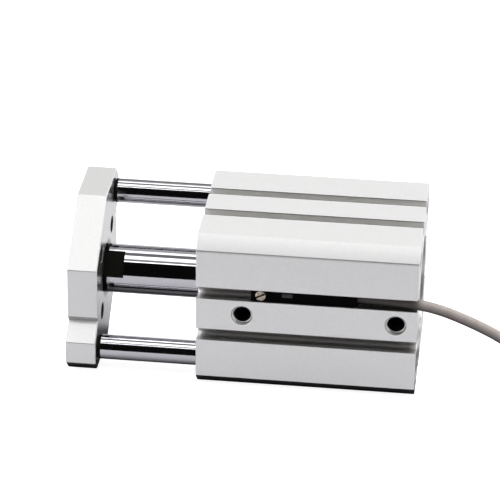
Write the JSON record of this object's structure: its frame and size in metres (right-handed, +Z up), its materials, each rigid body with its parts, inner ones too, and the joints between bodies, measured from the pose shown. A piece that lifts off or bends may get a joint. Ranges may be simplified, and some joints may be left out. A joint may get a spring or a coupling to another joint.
{
  "type": "guided pneumatic cylinder",
  "caption": "Compact guided air cylinder: square slotted body, piston rod with guide rods on a diagonal, end plate, and a position switch with its lead.",
  "frame": {"origin": "centre of the head end face, on the piston axis", "axes": "+X along the piston axis from the plate to the head end, -Y out of the face with the air ports, +Z up from the face that the cylinder lies on"},
  "size_m": [0.1542, 0.06, 0.04],
  "materials": {
    "body_aluminium": "fine blasted, clear anodised",
    "cover_aluminium": "turned, clear anodised",
    "collar_aluminium": "turned",
    "ring_steel": "phosphated, dark",
    "seal_rubber": "matt",
    "bush_bronze": "sintered",
    "rod_chrome": "hard chromed, ground",
    "piston_aluminium": "turned",
    "magnet_rubber": "matt",
    "bumper_rubber": "matt",
    "plate_aluminium": "fine blasted, clear anodised",
    "bolt_steel": "black oxide",
    "switch_plastic": "moulded, black",
    "screw_brass": "machined",
    "window_plastic": "clear over grey",
    "lead_sheath": "soft grey sheath, satin",
    "tie_plastic": "black band",
    "wire_plastic": "brown and blue insulation",
    "tip_metal": "tinned strands"
  },
  "bodies": {
    "body": {"cylinder_tube": "body_aluminium", "head_cover": "cover_aluminium", "rod_collar": "collar_aluminium", "rod_retaining_ring": "ring_steel", "rod_seal": "seal_rubber", "collar_o_ring": "seal_rubber", "upper_outer_bush": "bush_bronze", "upper_inner_bush": "bush_bronze", "lower_outer_bush": "bush_bronze", "lower_inner_bush": "bush_bronze", "switch_body": "switch_plastic", "switch_set_screw": "screw_brass", "switch_window": "window_plastic", "switch_lead": "lead_sheath", "lead_coil": "lead_sheath", "lead_tie": "tie_plastic", "lead_tail": "lead_sheath", "lead_wires": "wire_plastic", "lead_wire_tips": "tip_metal"},
    "carriage": {"piston_rod": "rod_chrome", "piston": "piston_aluminium", "piston_seal": "seal_rubber", "piston_magnet": "magnet_rubber", "rod_side_bumper": "bumper_rubber", "head_side_bumper": "bumper_rubber", "upper_guide_rod": "rod_chrome", "lower_guide_rod": "rod_chrome", "plate": "plate_aluminium", "piston_rod_bolt": "bolt_steel", "upper_guide_bolt": "bolt_steel", "lower_guide_bolt": "bolt_steel"}
  },
  "joints": [
    {"name": "rod_slide", "type": "slide", "parent": "body", "child": "carriage", "axis": [1, 0, 0], "range_m": [0, 0.02]}
  ]
}
